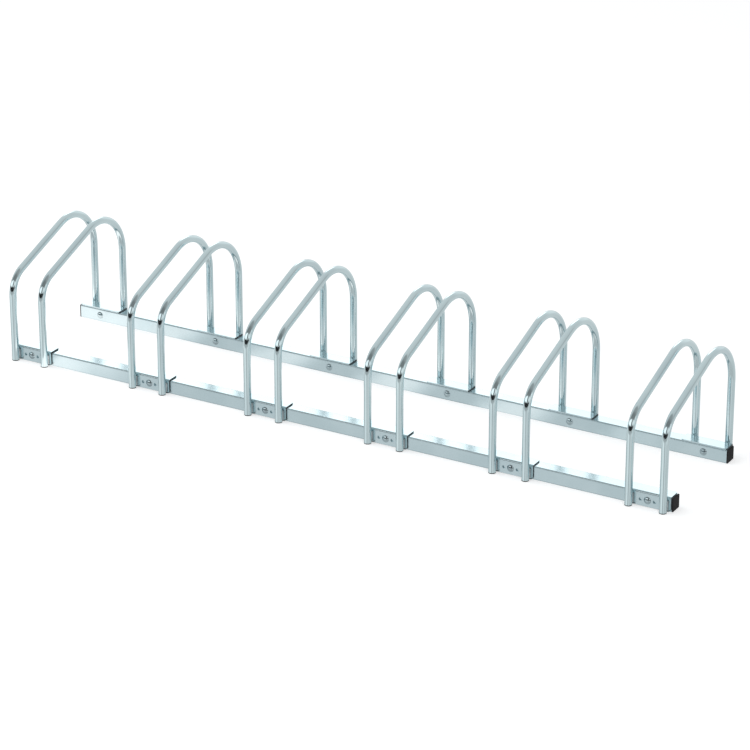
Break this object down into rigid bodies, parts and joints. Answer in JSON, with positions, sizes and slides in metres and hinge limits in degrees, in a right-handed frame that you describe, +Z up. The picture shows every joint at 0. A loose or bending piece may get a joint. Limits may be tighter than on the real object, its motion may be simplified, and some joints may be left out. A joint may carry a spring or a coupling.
{
  "type": "floor bike rack",
  "caption": "Low floor rack for parked bicycles: paired bent tube hoops hold each front wheel, bolted through angle brackets to long square rails.",
  "frame": {"origin": "on the floor, at the middle of the rack's footprint", "axes": "+X along the rails, +Y from the low front shoulder of the hoops towards their high rear arch, +Z up"},
  "size_m": [1.6, 0.332, 0.2723],
  "materials": {
    "zinc_rail": "bright zinc-plated square tube, nearly mirror smooth",
    "zinc_bracket": "bright zinc-plated sheet, nearly mirror smooth",
    "zinc_tube": "bright zinc-plated round tube with faint lengthwise drawing lines",
    "zinc_fastener": "zinc-plated, smooth",
    "zinc_weld": "zinc-plated weld, rippled",
    "black_cap": "moulded black plastic, matt",
    "black_foot": "moulded black plastic, matt"
  },
  "bodies": {
    "root": {"front_rail": "zinc_rail", "rear_rail": "zinc_rail", "front_rail_left_cap": "black_cap", "front_rail_right_cap": "black_cap", "rear_rail_left_cap": "black_cap", "rear_rail_right_cap": "black_cap", "holder_1_left_hoop": "zinc_tube", "holder_1_right_hoop": "zinc_tube", "holder_1_front_bracket": "zinc_bracket", "holder_1_rear_bracket": "zinc_bracket", "holder_2_left_hoop": "zinc_tube", "holder_2_right_hoop": "zinc_tube", "holder_2_front_bracket": "zinc_bracket", "holder_2_rear_bracket": "zinc_bracket", "holder_3_left_hoop": "zinc_tube", "holder_3_right_hoop": "zinc_tube", "holder_3_front_bracket": "zinc_bracket", "holder_3_rear_bracket": "zinc_bracket", "holder_4_left_hoop": "zinc_tube", "holder_4_right_hoop": "zinc_tube", "holder_4_front_bracket": "zinc_bracket", "holder_4_rear_bracket": "zinc_bracket", "holder_5_left_hoop": "zinc_tube", "holder_5_right_hoop": "zinc_tube", "holder_5_front_bracket": "zinc_bracket", "holder_5_rear_bracket": "zinc_bracket", "holder_6_left_hoop": "zinc_tube", "holder_6_right_hoop": "zinc_tube", "holder_6_front_bracket": "zinc_bracket", "holder_6_rear_bracket": "zinc_bracket", "front_coach_bolts": "zinc_fastener", "front_washers": "zinc_fastener", "front_nuts": "zinc_fastener", "front_foot_plugs": "black_foot", "front_weld_beads": "zinc_weld", "rear_coach_bolts": "zinc_fastener", "rear_washers": "zinc_fastener", "rear_nuts": "zinc_fastener", "rear_foot_plugs": "black_foot", "rear_weld_beads": "zinc_weld"}
  },
  "joints": []
}
